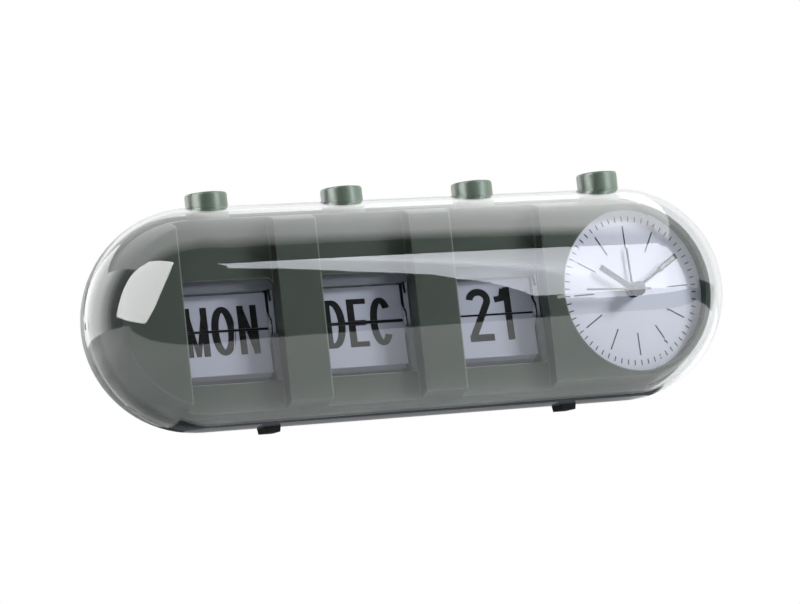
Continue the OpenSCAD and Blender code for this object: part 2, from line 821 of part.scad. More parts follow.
front_cover();
front_housing();
rear_shell();
foot_left();
foot_right();
case_screws();
day_frame();
month_frame();
date_frame();
frame_screws();
day_drum();
month_drum();
date_drum();
day_leaves();
month_leaves();
date_leaves();
day_flip_leaf();
month_flip_leaf();
date_flip_leaf();
day_button();
month_button();
date_button();
alarm_button();
day_spring();
month_spring();
date_spring();
alarm_spring();
alarm_switch();
dial_plate();
alarm_hand();
hour_hand();
minute_hand();
second_hand();
movement_front();
movement_back();
movement_screws();
circuit_board();
stator();
coil();
rotor();
fifth_wheel();
second_wheel();
third_wheel();
centre_wheel();
minute_pinion();
minute_wheel();
hour_wheel();
alarm_wheel();
time_knob();
alarm_knob();
buzzer();
battery();
battery_spring();
battery_contact();
battery_door();
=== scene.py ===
"""Looks of a desk clock: a capsule with a clear domed front, three flip-card windows, a dial
and four push buttons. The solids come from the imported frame; this file dresses them."""

import math

import bmesh
import bpy
from bpy.props import FloatProperty, FloatVectorProperty, IntProperty, PointerProperty
from mathutils import Matrix, Vector


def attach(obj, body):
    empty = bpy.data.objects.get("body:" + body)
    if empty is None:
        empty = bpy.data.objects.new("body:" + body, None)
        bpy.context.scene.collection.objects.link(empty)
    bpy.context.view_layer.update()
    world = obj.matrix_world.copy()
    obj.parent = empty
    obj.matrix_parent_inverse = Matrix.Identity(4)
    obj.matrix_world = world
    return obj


bl_info = {
    "name": "Desk Clock With Flip Calendar",
    "version": (1, 0, 0),
    "blender": (4, 5, 0),
    "location": "3D View > Sidebar > Desk Clock",
    "description": "Dresses the frame of a capsule-shaped desk clock",
    "category": "Object",
}

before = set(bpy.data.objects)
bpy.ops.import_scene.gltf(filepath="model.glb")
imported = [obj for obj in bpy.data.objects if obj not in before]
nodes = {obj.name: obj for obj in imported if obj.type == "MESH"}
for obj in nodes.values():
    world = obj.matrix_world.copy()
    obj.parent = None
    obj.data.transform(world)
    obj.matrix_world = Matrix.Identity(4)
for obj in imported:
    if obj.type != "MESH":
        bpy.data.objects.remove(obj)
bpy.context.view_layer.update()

MM = 0.001
# The capsule's axis in the frame, and the middle of the dial
AXIS = Vector((0, 6.5, 44.7)) * MM
DIAL = Vector((90.5, 6.5, 44.7)) * MM
# Where each card unit sits along the body, and how many leaves its drum carries
UNITS = {"day": (-80.6, 28), "month": (-24.5, 24), "date": (31.6, 31)}
# What the front cards read, and what comes up next
WORDS = {"day": ("MON", "TUE"), "month": ("DEC", "JAN"), "date": ("21", "22")}
# Width of each letter and figure, in mm
WIDTHS = {
    "M": 9.4, "O": 9.5, "N": 7.9, "D": 8.7, "E": 8.0, "C": 9.3,
    "T": 8.4, "U": 8.4, "J": 7.2, "A": 9.0, "2": 10.5, "1": 7.3,
}

# The sizes from here on are in mm, and the angles in degrees.
# A drum's axle, from the capsule's axis, and the ring of pins that its leaves hang from
DRUM_Y = -0.2
SPLIT_Z = -5.6
PIN_RING = 7.0
PIN_R = 0.3
# The upper front leaf leans back by 3 degrees
FIRST_LEAN = 93
# From the middle of a leaf's thickness to its print, just clear of its face
PRINT_LIFT = 0.09
# The share of a word's height that is below the split
SPLIT_SHARE = {"word": 0.5, "date": 0.495}
# Painted shade: a small black slab for the dark slot beside the upper leaf; and a pale strip beside the leaf,
# from the capsule's axis
NOTCH_SHADE_Y = -9.25
NOTCH_SHADE = ((17.5, 4.4), (18.2, 4.6), (17.9, 9.0), (17.0, 9.0))
STRIP_Y = -8.7
STRIP = ((18.05, -7.8), (19.2, -7.8), (19.2, 8.6), (17.25, 8.6), (17.25, -0.5), (18.05, -2.5))
INSERT_T = 0.3
# Painted shade: a dark strip in the gap between the two front leaves, a little inside the ring of pins
GAP_SHADE_RING = 6.8
GAP_SHADE_HALF_W = 16.8
GAP_SHADE_CLEAR = 0.08
GAP_SHADE_T = 0.05
# The dial's printed face, and the middle radius and the length of the marks in each ring
DIAL_FACE_Y = -12.53
MARK_T = 0.04
MINUTE_MARKS = (28.6, 2.0)
HOUR_MARKS = (21.4, 8.8)
HOUR_MARK_SHARE = 1.2
# The pale strip in the minute hand: the hand's face, how far the hand is turned, and the strip's
# half width and where it starts and ends along the hand
HAND_FACE_Y = -16.5
HAND_TURN = 58
HAND_STRIP = (0.62, 14.3, 22.2)
HAND_STRIP_T = 0.06


def linear(code):
    """sRGB hex to the linear colour that the shader sockets take."""
    parts = [int(code[i : i + 2], 16) / 255 for i in (1, 3, 5)]
    return [p / 12.92 if p <= 0.04045 else ((p + 0.055) / 1.055) ** 2.4 for p in parts] + [1.0]


def add(tree, kind, values=(), links=(), **settings):
    """Adds one node with its settings, its plain socket values and what feeds its sockets. A socket
    goes by its name, or by its number where names repeat."""
    node = tree.nodes.new(kind)
    for name, value in settings.items():
        setattr(node, name, value)
    for socket, value in dict(values).items():
        node.inputs[socket].default_value = value
    for socket, source in dict(links).items():
        tree.links.new(source, node.inputs[socket])
    return node


def start_material(name, colour, shine, **sockets):
    """A material with one main shader; sockets are values that hold all over the surface."""
    material = bpy.data.materials.new(name)
    material.use_nodes = True
    material.diffuse_color = colour
    tree = material.node_tree
    shader = tree.nodes["Principled BSDF"]
    shader.inputs["Base Color"].default_value = colour
    shader.inputs["Roughness"].default_value = shine
    for socket, value in sockets.items():
        shader.inputs[socket.replace("_", " ")].default_value = value
    return material, tree, shader


def mottled(tree, shader, depth, patch_mm, rough=None):
    """Colour that drifts slightly over the surface in patches, and roughness with it where asked."""
    place = add(tree, "ShaderNodeTexCoord")
    cloud = add(
        tree, "ShaderNodeTexNoise", {"Scale": 1 / (patch_mm * MM), "Detail": 3.0},
        {"Vector": place.outputs["Object"]},
    )
    base = shader.inputs["Base Color"].default_value[:3]
    dark, pale = ([min(1, part * share) for part in base] + [1] for share in (1 - depth, 1 + depth))
    blend = add(tree, "ShaderNodeMix", {6: dark, 7: pale}, {0: cloud.outputs["Fac"]}, data_type="RGBA")
    tree.links.new(blend.outputs[2], shader.inputs["Base Color"])
    if rough:
        span = add(tree, "ShaderNodeMapRange", {3: rough[0], 4: rough[1]}, {0: cloud.outputs["Fac"]})
        tree.links.new(span.outputs[0], shader.inputs["Roughness"])
    return place


def grained(tree, shader, place, grain_mm, height_mm, edge_mm=0.0):
    """Fine moulded or ground relief, on edges rounded by edge_mm."""
    grain = add(
        tree, "ShaderNodeTexNoise", {"Scale": 1 / (grain_mm * MM), "Detail": 2.0},
        {"Vector": place.outputs["Object"]},
    )
    links = {"Height": grain.outputs["Fac"]}
    if edge_mm:
        edge = add(tree, "ShaderNodeBevel", {"Radius": edge_mm * MM}, samples=8)
        links["Normal"] = edge.outputs[0]
    relief = add(tree, "ShaderNodeBump", {"Strength": 1.0, "Distance": height_mm * MM}, links)
    tree.links.new(relief.outputs[0], shader.inputs["Normal"])


def painted_edge_highlight(tree, shader, edge_mm, colour):
    """Painted highlight: a second, paler colour where the rounded edges turn away from their face, standing
    in for the light they catch.
    """
    edge = add(tree, "ShaderNodeBevel", {"Radius": edge_mm * MM}, samples=8)
    face = add(tree, "ShaderNodeNewGeometry")
    same = add(
        tree, "ShaderNodeVectorMath", links={0: edge.outputs[0], 1: face.outputs["True Normal"]},
        operation="DOT_PRODUCT",
    )
    # None of the painted highlight at 14 degrees from the face's own direction, and all of it by 41 degrees
    share = add(tree, "ShaderNodeMapRange", {1: 0.97, 2: 0.75, 3: 0.0, 4: 1.0}, {0: same.outputs["Value"]})
    base = shader.inputs["Base Color"].links[0].from_socket
    blend = add(tree, "ShaderNodeMix", {7: colour}, {0: share.outputs[0], 6: base}, data_type="RGBA")
    tree.links.new(blend.outputs[2], shader.inputs["Base Color"])


def satin_abs(name, colour, shine, edge_mm, edge_highlight_colour=None):
    # Moulded ABS from a lightly blasted tool: satin, with soft broad highlights. Its grain is about
    # 0.1 mm and is drawn at 0.4 mm so that it shows. Where an edge colour is given, the rounded
    # edges get a painted highlight: thin pale lines mixed into the colour.
    material, tree, shader = start_material(name, colour, shine, IOR=1.53)
    place = mottled(tree, shader, 0.05, 16.7, (shine - 0.04, shine + 0.06))
    grained(tree, shader, place, 0.4, 0.0012, edge_mm)
    if edge_highlight_colour is not None:
        painted_edge_highlight(tree, shader, edge_mm, edge_highlight_colour)
    return material


def clear_acrylic():
    # Polished cast acrylic: water-clear, with a mirror-like surface and the faintest smears. Lamps
    # and soft light pass straight through, so what is under it is lit.
    material, tree, shader = start_material(
        "clear_acrylic", linear("#f7f9fa"), 0.0, IOR=1.49, Transmission_Weight=1.0
    )
    place = add(tree, "ShaderNodeTexCoord")
    smear = add(
        tree, "ShaderNodeTexNoise", {"Scale": 1 / (28.6 * MM), "Detail": 4.0},
        {"Vector": place.outputs["Object"]},
    )
    haze = add(tree, "ShaderNodeMapRange", {1: 0.55, 2: 0.8, 3: 0.0, 4: 0.004}, {0: smear.outputs["Fac"]})
    tree.links.new(haze.outputs[0], shader.inputs["Roughness"])
    path = add(tree, "ShaderNodeLightPath")
    through = add(
        tree, "ShaderNodeMath", links={0: path.outputs["Is Shadow Ray"], 1: path.outputs["Is Diffuse Ray"]},
        operation="MAXIMUM",
    )
    open_side = add(tree, "ShaderNodeBsdfTransparent", {"Color": linear("#f4f7f6")})
    sides = {0: through.outputs[0], 1: shader.outputs[0], 2: open_side.outputs[0]}
    mix = add(tree, "ShaderNodeMixShader", links=sides)
    tree.links.new(mix.outputs[0], tree.nodes["Material Output"].inputs["Surface"])
    return material


def white_plastic(name, colour, shine):
    # Thin white polystyrene, calendered or moulded: matt, slightly cool, with very fine texture
    material, tree, shader = start_material(name, colour, shine, IOR=1.5)
    place = mottled(tree, shader, 0.025, 11.1)
    grained(tree, shader, place, 0.5, 0.003)
    return material


def printing_ink(colour):
    # Screen-printed ink: soft black, a little uneven
    material, tree, shader = start_material("black_ink", colour, 0.5)
    mottled(tree, shader, 0.12, 2.5)
    return material


def painted_brass():
    # Stamped brass hands in satin black paint, with a faint orange-peel texture
    material, tree, shader = start_material("satin_black_paint", linear("#38383c"), 0.32, IOR=1.5)
    place = mottled(tree, shader, 0.08, 3.33, (0.28, 0.38))
    grained(tree, shader, place, 0.3, 0.002)
    return material


def moulded_rubber():
    # Black rubber: dull, with a fine dusty grain
    material, tree, shader = start_material("black_rubber", linear("#1c1c1e"), 0.75)
    place = mottled(tree, shader, 0.15, 2.0, (0.68, 0.85))
    grained(tree, shader, place, 0.35, 0.02, 0.3)
    return material


def dark_plastic():
    # Black moulded plastic of the knobs and the switch: satin, with a slightly uneven shine
    material, tree, shader = start_material("black_plastic", linear("#1b1c1e"), 0.4, IOR=1.5)
    place = mottled(tree, shader, 0.12, 5.0, (0.34, 0.46))
    grained(tree, shader, place, 0.4, 0.006, 0.2)
    return material


def metal(name, code, shine, grain_mm):
    # Drawn, stamped or plated metal: fine marks left by the tool, so the highlight breaks up
    material, tree, shader = start_material(name, linear(code), shine, Metallic=1.0)
    place = mottled(tree, shader, 0.06, 4.0, (shine - 0.06, shine + 0.1))
    grained(tree, shader, place, grain_mm, 0.002)
    return material


def wound_copper():
    # Enamelled copper wire wound in neat turns: warm bands side by side. The wire is about 0.1 mm
    # thick, and its turns are drawn 0.79 mm apart so that they show. A wave texture goes through
    # 20 radians for each unit of its scaled place.
    material, tree, shader = start_material("enamelled_copper", linear("#b5633a"), 0.3, Metallic=1.0)
    place = mottled(tree, shader, 0.08, 3.33)
    turns = add(
        tree, "ShaderNodeTexWave", {"Scale": 2 * math.pi / (20 * 0.79 * MM)},
        {"Vector": place.outputs["Object"]}, bands_direction="X",
    )
    relief = add(tree, "ShaderNodeBump", {"Distance": 0.1 * MM}, {"Height": turns.outputs["Fac"]})
    tree.links.new(relief.outputs[0], shader.inputs["Normal"])
    return material


def solder_mask():
    # Fibreglass board under green solder mask, with copper tracks showing through as paler lines.
    # One scaled unit of the pattern is 4 mm, which puts the tracks 1 mm apart.
    material, tree, shader = start_material("green_solder_mask", linear("#2c6a42"), 0.25)
    place = add(tree, "ShaderNodeTexCoord")
    tracks = add(
        tree, "ShaderNodeTexBrick",
        {
            "Color1": linear("#2c6a42"), "Color2": linear("#2f7248"), "Mortar": linear("#4d9561"),
            "Scale": 1 / (4 * MM), "Mortar Size": 0.03,
        },
        {"Vector": place.outputs["Object"]},
    )
    tree.links.new(tracks.outputs["Color"], shader.inputs["Base Color"])
    return material


def dress(material, *names):
    """Gives CAD nodes a finish in place of the plain one they come with."""
    for name in names:
        nodes[name].data.materials.clear()
        nodes[name].data.materials.append(material)


def piece(name, mesh, material, body):
    """A finished piece: an object at the origin, riding on a body."""
    thing = bpy.data.objects.new(name, mesh)
    bpy.context.scene.collection.objects.link(thing)
    mesh.materials.clear()
    mesh.materials.append(material)
    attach(thing, body)
    return thing


def plane(right, up, out, at):
    """Sets flat work in space: u along right, v along up and thickness along out, from a point."""
    place = Matrix((right, up, out)).transposed().to_4x4()
    place.translation = at
    return place


def facing_front(at):
    """A plane that faces the front, from a point."""
    return plane(Vector((1, 0, 0)), Vector((0, 0, 1)), Vector((0, -1, 0)), at)


def rectangle(half_width, low, high):
    """Corners of a rectangle that reaches half_width to each side of u = 0."""
    return [(-half_width, low), (half_width, low), (half_width, high), (-half_width, high)]


def slab(work, outline, place, thick):
    """Closed slab: a flat outline of (u, v) points, set in space by place, thick towards its front."""
    low = [work.verts.new(place @ Vector((u, v, 0))) for u, v in outline]
    high = [work.verts.new(place @ Vector((u, v, thick))) for u, v in outline]
    count = len(outline)
    work.faces.new(high)
    work.faces.new(low[::-1])
    for i in range(count):
        j = (i + 1) % count
        work.faces.new((low[i], low[j], high[j], high[i]))


def slab_piece(name, slabs, material, body):
    """A piece of slabs, each given as its outline in mm, its place and its thickness in mm."""
    work = bmesh.new()
    for outline, place, thick in slabs:
        slab(work, [(u * MM, v * MM) for u, v in outline], place, thick * MM)
    mesh = bpy.data.meshes.new(name)
    work.to_mesh(mesh)
    work.free()
    piece(name, mesh, material, body)


# Lettering: each glyph is a set of strokes in a box, as bands along their middle lines. Its plain
# numbers are shares of the glyph's width, its height or its stroke.


def arc(cx, cz, rx, rz, start, end, steps):
    """Points along an ellipse's arc, from one angle to another in degrees."""
    turn = [math.radians(start + (end - start) * i / steps) for i in range(steps + 1)]
    return [(cx + rx * math.cos(t), cz + rz * math.sin(t)) for t in turn]


def band(line, s):
    """Faces of a stroke s thick along a middle line, mitred at its corners."""
    closed = math.dist(line[0], line[-1]) < 1e-6
    points = [Vector(p) for p in (line[:-1] if closed else line)]
    points = [p for i, p in enumerate(points) if i == 0 or (p - points[i - 1]).length > 1e-4]
    count = len(points)
    sides = []
    for i, p in enumerate(points):
        before = points[i - 1] if i or closed else None
        after = points[(i + 1) % count] if i < count - 1 or closed else None
        way_in = (p - before).normalized() if before is not None else (after - p).normalized()
        way_out = (after - p).normalized() if after is not None else way_in
        middle = (way_in + way_out).normalized()
        across = Vector((-middle.y, middle.x))
        # A sharp corner's mitre is held back, so that it doesn't run out into a spike
        reach = s / 2 / max(0.45, across.dot(Vector((-way_in.y, way_in.x))))
        sides.append((p + across * reach, p - across * reach))
    pairs = list(zip(sides, sides[1:] + sides[:1] if closed else sides[1:]))
    return [[tuple(a[0]), tuple(a[1]), tuple(b[1]), tuple(b[0])] for a, b in pairs]


def bar(low, high):
    """An upright or level stroke between two corners."""
    return [[low, (high[0], low[1]), high, (low[0], high[1])]]


def slant(foot, head, h, thick):
    """A slanting stroke from the base line to the top, cut level at both ends."""
    return [[(foot, 0), (foot + thick, 0), (head + thick, h), (head, h)]]


def letter_faces(letter, w, h, s):
    """One letter, w wide and h high, out of strokes s thick."""
    e = s / 2
    left, right = bar((0, 0), (s, h)), bar((w - s, 0), (w, h))
    middle = w / 2 - e
    leg, fine = s * 0.9, s * 0.62
    legs = bar((0, 0), (leg, h)) + bar((w - leg, 0), (w, h))
    if letter == "M":
        return legs + slant((w - fine) / 2, 0, h, fine) + slant((w - fine) / 2, w - fine, h, fine)
    if letter == "N":
        return legs + slant(w - fine * 1.2, 0, h, fine * 1.2)
    if letter == "O":
        return band(arc(w / 2, h / 2, w / 2 - e, h / 2 - e, 0, 360, 40), s)
    if letter == "D":
        start = w * 0.4
        bowl = arc(start, h / 2, w - e - start, h / 2 - e, 90, -90, 24)
        return left + band([(s / 2, h - e)] + bowl + [(s / 2, e)], s)
    if letter == "E":
        arms = bar((s, h - s), (w, h)) + bar((s, h / 2 - e), (w * 0.93, h / 2 + e)) + bar((s, 0), (w, s))
        return left + arms
    if letter == "C":
        return band(arc(w / 2, h / 2, w / 2 - e, h / 2 - e, 38, 322, 36), s)
    if letter == "T":
        return bar((0, h - s), (w, h)) + bar((middle, 0), (middle + s, h - s))
    if letter == "U":
        return band([(e, h)] + arc(w / 2, h * 0.3, w / 2 - e, h * 0.3 - e, 180, 360, 20) + [(w - e, h)], s)
    if letter == "J":
        return band([(w - e, h)] + arc(w / 2, h * 0.28, w / 2 - e, h * 0.28 - e, 0, -180, 20), s)
    if letter == "A":
        sides = slant(0, middle, h, s) + slant(w - s, middle, h, s)
        return sides + bar((w * 0.25, h * 0.2), (w * 0.75, h * 0.2 + s))
    if letter == "2":
        head = arc(w / 2, h - w * 0.47, w / 2 - e, w * 0.47 - e, 175, -25, 22)
        neck = [(w * 0.38, h * 0.3), (w * 0.2, h * 0.14), (e * 1.15, s * 0.6)]
        return band(head + neck, s) + bar((0, 0), (w, s))
    if letter == "1":
        return right + band([(0.2, h * 0.775), (w * 0.45, h * 0.795), (w - s, h - e * 0.4)], s * 0.85)
    raise RuntimeError("no glyph for " + letter)


def word_faces(word, height, bar_mm, stem_mm, gap):
    """Every small face of a word's strokes, centred on u = 0, from v = 0 up."""
    # Drawn narrow with even strokes, then pulled wide, which makes the stems heavier than the bars
    pull = stem_mm / bar_mm
    at = -(sum(WIDTHS[c] for c in word) + gap * (len(word) - 1)) / 2
    faces = []
    for c in word:
        for face in letter_faces(c, WIDTHS[c] / pull, height, bar_mm):
            faces.append([(u * pull + at, v) for u, v in face])
        at += WIDTHS[c] + gap
    return faces


def clip(face, upper, edge):
    """The part of a face above, or below, a level."""
    kept = []
    for i, a in enumerate(face):
        b = face[(i + 1) % len(face)]
        inside = [(p[1] >= edge) if upper else (p[1] <= edge) for p in (a, b)]
        if inside[0]:
            kept.append(a)
        if inside[0] != inside[1]:
            t = (edge - a[1]) / (b[1] - a[1])
            kept.append((a[0] + (b[0] - a[0]) * t, edge))
    return kept if len(kept) > 2 else None


def leaf_frame(unit, i):
    """Where leaf i starts and the way it points, in the frame."""
    x, count = UNITS[unit]
    pin = math.radians((i + 0.5) * 360 / count)
    # The leaves fan out evenly, from the upright one in front round to the one that hangs below it
    tilt = math.radians(FIRST_LEAN + i * 180 / (count - 1))
    foot = AXIS + Vector((x, DRUM_Y - PIN_RING * math.cos(pin), SPLIT_Z + PIN_RING * math.sin(pin))) * MM
    return foot, Vector((0, -math.cos(tilt), math.sin(tilt)))


def half_word(unit, i, word, upper, back, look):
    """Slabs of ink for the upper or lower half of a word, on one side of leaf i."""
    foot, way = leaf_frame(unit, i)
    front = Vector((0, -way.z, way.y))
    out = -front if back else front
    sign = 1 if upper else -1
    right = Vector((1, 0, 0))
    up = way * sign
    if right.cross(up).dot(out) < 0:
        raise RuntimeError("a word would print mirrored")
    place = plane(right, up, out, foot + out * (PRINT_LIFT * MM))
    kind = "date" if unit == "date" else "word"
    height, level, gap = (getattr(look, kind + size) / MM for size in ("_height", "_bar", "_gap"))
    stem, shift, ink = look.stem / MM, look.word_shift / MM, look.ink / MM
    below = height * SPLIT_SHARE[kind]
    # How far the leaf's pins and its hinge edge are from the split between the leaves
    pins = PIN_RING * math.sin(math.pi / UNITS[unit][1])
    edge = sign * (pins - PIN_R)
    slabs = []
    # Each stroke is a little thicker than the last, so that where two cross no faces share a plane
    for n, face in enumerate(word_faces(word, height, level, stem, gap)):
        part = clip([(u + shift, v - below) for u, v in face], upper, edge)
        if part:
            slabs.append(([(u, v - sign * pins) for u, v in part], place, ink * (1 + n * 0.01)))
    return slabs


def gap_shade_lines(unit):
    """Dark strips that paint the shade in the gap between the two front leaves, one for now and one for the
    next press.
    """
    x, count = UNITS[unit]
    half = PIN_RING * math.sin(math.pi / count) - PIN_R - GAP_SHADE_CLEAR
    axle = AXIS + Vector((x, DRUM_Y, SPLIT_Z)) * MM
    lines = []
    for step in (0, 1):
        angle = 2 * math.pi * step / count
        out = Vector((0, -math.cos(angle), math.sin(angle)))
        up = Vector((0, math.sin(angle), math.cos(angle)))
        place = plane(Vector((1, 0, 0)), up, out, axle + out * (GAP_SHADE_RING * MM))
        lines.append((rectangle(GAP_SHADE_HALF_W, -half, half), place, GAP_SHADE_T))
    return lines


class BodyLook(bpy.types.PropertyGroup):
    housing: FloatVectorProperty(
        name="Housing", description="Colour of the front housing",
        subtype="COLOR", size=4, default=linear("#555b55"), min=0, max=1,
    )
    # Colour of the painted highlight on the housing's rounded edges
    housing_edge_highlight: FloatVectorProperty(
        name="Housing edges", description="Colour of the front housing's rounded edges",
        subtype="COLOR", size=4, default=linear("#939b92"), min=0, max=1,
    )
    shell: FloatVectorProperty(
        name="Rear shell", description="Colour of the rear shell and the battery door",
        subtype="COLOR", size=4, default=linear("#525c54"), min=0, max=1,
    )
    buttons: FloatVectorProperty(
        name="Buttons", description="Colour of the push buttons",
        subtype="COLOR", size=4, default=linear("#6d7c6f"), min=0, max=1,
    )


class CardLook(bpy.types.PropertyGroup):
    # The cards' white is darkened to this grey: painted shade for the window recesses
    leaf: FloatVectorProperty(
        name="Leaves", description="Colour of the cards",
        subtype="COLOR", size=4, default=linear("#bdbcce"), min=0, max=1,
    )
    ink_colour: FloatVectorProperty(
        name="Ink colour", description="Colour of the lettering and of the dial's marks",
        subtype="COLOR", size=4, default=linear("#232224"), min=0, max=1,
    )
    word_height: FloatProperty(
        name="Word height", description="Height of the day and month",
        subtype="DISTANCE", unit="LENGTH", default=18.6 * MM, min=8 * MM, max=22 * MM,
    )
    date_height: FloatProperty(
        name="Date height", description="Height of the date's figures",
        subtype="DISTANCE", unit="LENGTH", default=20.8 * MM, min=8 * MM, max=23 * MM,
    )
    stem: FloatProperty(
        name="Stem", description="Width of upright strokes",
        subtype="DISTANCE", unit="LENGTH", default=2.95 * MM, min=0.5 * MM, max=4 * MM,
    )
    word_bar: FloatProperty(
        name="Word bar", description="Thickness of level strokes in the words",
        subtype="DISTANCE", unit="LENGTH", default=2.05 * MM, min=0.5 * MM, max=4 * MM,
    )
    date_bar: FloatProperty(
        name="Date bar", description="Thickness of level strokes in the date",
        subtype="DISTANCE", unit="LENGTH", default=2.75 * MM, min=0.5 * MM, max=4 * MM,
    )
    word_gap: FloatProperty(
        name="Word gap", description="Space between letters",
        subtype="DISTANCE", unit="LENGTH", default=1.25 * MM, min=0 * MM, max=4 * MM,
    )
    date_gap: FloatProperty(
        name="Date gap", description="Space between the date's figures",
        subtype="DISTANCE", unit="LENGTH", default=1.5 * MM, min=0 * MM, max=4 * MM,
    )
    word_shift: FloatProperty(
        name="Word shift", description="How far the words sit to the right of the card's middle",
        subtype="DISTANCE", unit="LENGTH", default=-1.9 * MM, min=-4 * MM, max=4 * MM,
    )
    ink: FloatProperty(
        name="Ink", description="Thickness of the print",
        subtype="DISTANCE", unit="LENGTH", default=0.03 * MM, min=0.01 * MM, max=0.1 * MM,
    )


class DialLook(bpy.types.PropertyGroup):
    face: FloatVectorProperty(
        name="Dial", description="Colour of the dial",
        subtype="COLOR", size=4, default=linear("#dedded"), min=0, max=1,
    )
    turn: FloatProperty(
        name="Print turn", description="How far the print is turned from upright",
        default=math.radians(-2), subtype="ANGLE", unit="ROTATION",
    )
    minute_marks: IntProperty(
        name="Minute marks", description="Marks round the dial's edge", default=60, min=12, max=120
    )
    hour_marks: IntProperty(
        name="Hour marks", description="Long marks, one for each hour", default=12, min=4, max=24
    )
    mark_width: FloatProperty(
        name="Mark width", description="Width of the minute marks",
        subtype="DISTANCE", unit="LENGTH", default=0.42 * MM, min=0.1 * MM, max=1 * MM,
    )


class StageLook(bpy.types.PropertyGroup):
    lamp: FloatProperty(
        name="Lamp", description="Power of the lamp above",
        subtype="POWER", unit="POWER", default=7.0, min=0, max=500,
    )
    key: FloatProperty(
        name="Key lamp", description="Power of the lamp at the right",
        subtype="POWER", unit="POWER", default=20.5, min=0, max=500,
    )
    surround: FloatProperty(
        name="Surround", description="Strength of the even light all round", default=0.15, min=0, max=2
    )
    screen: FloatProperty(
        name="Screens", description="Brightness of the dark screens in the cover",
        default=0.003, min=0, max=0.05,
    )
    right_lamp: FloatProperty(
        name="Right soft lamp", description="Brightness of the right soft lamp in the cover",
        default=12.0, min=0, max=40,
    )
    left_lamp: FloatProperty(
        name="Left soft lamp", description="Brightness of the left soft lamp in the cover",
        default=13.5, min=0, max=40,
    )


class ClockLook(bpy.types.PropertyGroup):
    body: PointerProperty(type=BodyLook)
    cards: PointerProperty(type=CardLook)
    dial: PointerProperty(type=DialLook)
    stage: PointerProperty(type=StageLook)


class CLOCK_OT_body(bpy.types.Operator):
    """Finishes the cover, the housing, the rear shell and the feet"""

    bl_idname = "clock.body"
    bl_label = "Body"

    def execute(self, context):
        look = context.scene.clock_look.body
        # The housing's rounded edges get a painted highlight in a paler colour
        housing = satin_abs("sage_green_housing", look.housing, 0.32, 1.2, look.housing_edge_highlight)
        dress(clear_acrylic(), "front_cover")
        dress(housing, "front_housing")
        dress(satin_abs("sage_green_shell", look.shell, 0.38, 0.4), "rear_shell", "battery_door")
        dress(moulded_rubber(), "foot_left", "foot_right")
        return {"FINISHED"}


class CLOCK_OT_buttons(bpy.types.Operator):
    """Finishes the four push buttons and their springs"""

    bl_idname = "clock.buttons"
    bl_label = "Push buttons"

    def execute(self, context):
        look = context.scene.clock_look.body
        kinds = (*UNITS, "alarm")
        springs = [kind + "_spring" for kind in (*kinds, "battery")]
        dress(satin_abs("sage_green_button", look.buttons, 0.34, 0.3), *[kind + "_button" for kind in kinds])
        dress(metal("spring_wire", "#c4c6c8", 0.25, 0.3), *springs)
        return {"FINISHED"}


class CLOCK_OT_cards(bpy.types.Operator):
    """Finishes the card units and prints their words"""

    bl_idname = "clock.cards"
    bl_label = "Cards"

    def execute(self, context):
        look = context.scene.clock_look.cards
        # The leaves' colour carries painted shade for the window recesses
        leaf = white_plastic("leaf_plastic_painted_shade", look.leaf, 0.55)
        ink = printing_ink(look.ink_colour)
        dress(leaf, *[unit + end for unit in UNITS for end in ("_leaves", "_flip_leaf")])
        # The frames' white plastic is darkened to a mid grey: painted shade for the window pockets
        dress(white_plastic("frame_plastic_painted_shade", linear("#777882"), 0.45), *[unit + "_frame" for unit in UNITS])
        dress(white_plastic("white_drum", linear("#d2d2da"), 0.4), *[unit + "_drum" for unit in UNITS])
        for unit, (now, later) in WORDS.items():
            x, count = UNITS[unit]
            flip = half_word(unit, 0, now, True, False, look)
            flip += half_word(unit, 0, later, False, True, look)
            rest = half_word(unit, count - 1, now, False, True, look)
            rest += half_word(unit, 1, later, True, False, look)
            notch_shade_place = facing_front(AXIS + Vector((x, NOTCH_SHADE_Y, 0)) * MM)
            strip_place = facing_front(AXIS + Vector((x, STRIP_Y, 0)) * MM)
            slab_piece(unit + "_flip_print", flip, ink, unit + "_flip_leaf")
            slab_piece(unit + "_drum_print", rest, ink, unit + "_drum")
            # A black slab as painted shade for the dark slot beside the upper leaf
            slab_piece(unit + "_leaf_notch_shade", [(NOTCH_SHADE, notch_shade_place, INSERT_T)], ink, "root")
            slab_piece(unit + "_side_strip", [(STRIP, strip_place, INSERT_T)], leaf, "root")
            # Dark strips as painted shade in the gap between the front leaves
            slab_piece(unit + "_gap_shade_line", gap_shade_lines(unit), ink, unit + "_drum")
        return {"FINISHED"}


